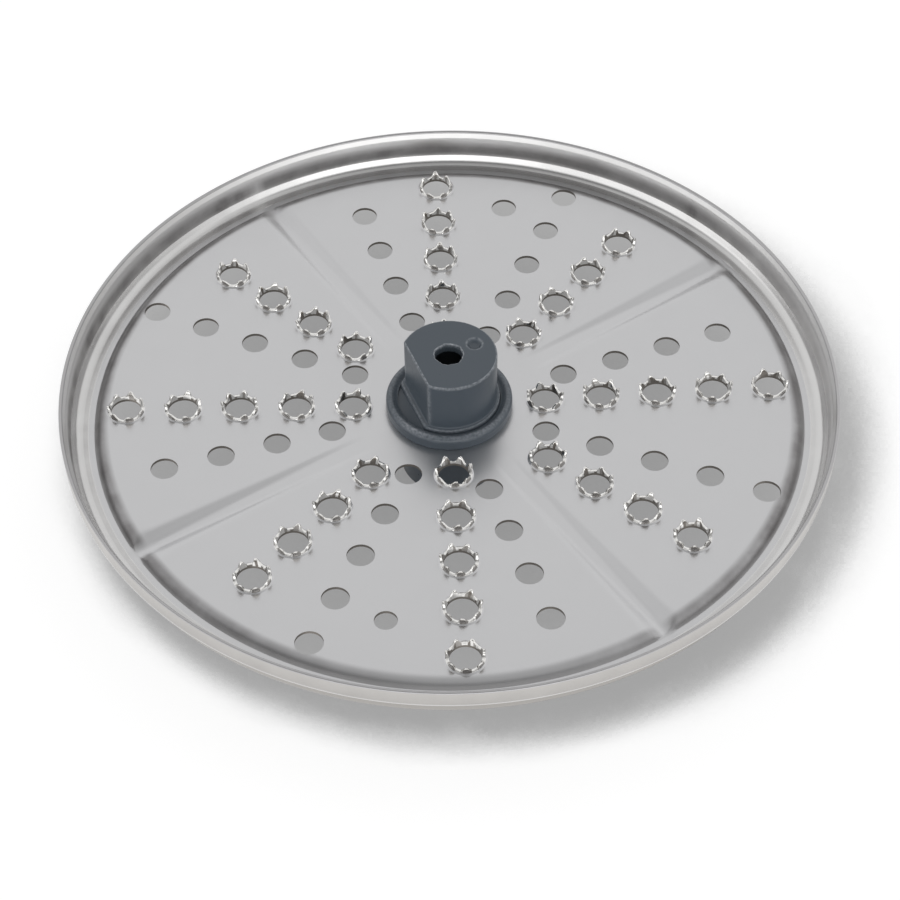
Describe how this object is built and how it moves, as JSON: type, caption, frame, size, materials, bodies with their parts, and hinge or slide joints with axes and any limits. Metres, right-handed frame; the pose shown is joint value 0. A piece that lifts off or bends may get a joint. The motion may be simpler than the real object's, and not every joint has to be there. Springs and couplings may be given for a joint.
{
  "type": "food processor disc",
  "caption": "Round grating disc of thin pressed steel with rows of rasp crowns and plain holes, a folded upstanding rim and a moulded drive hub.",
  "frame": {"origin": "on the axis of the disc, at the lower end of the hub", "axes": "+Z along the axis, up out of the grating face; +X along one of the rows of five crowns"},
  "size_m": [0.1256, 0.1256, 0.0247],
  "materials": {
    "steel": "satin",
    "hub_plastic": "matte"
  },
  "bodies": {
    "root": {"grating_plate": "steel", "drive_hub": "hub_plastic"}
  },
  "joints": []
}
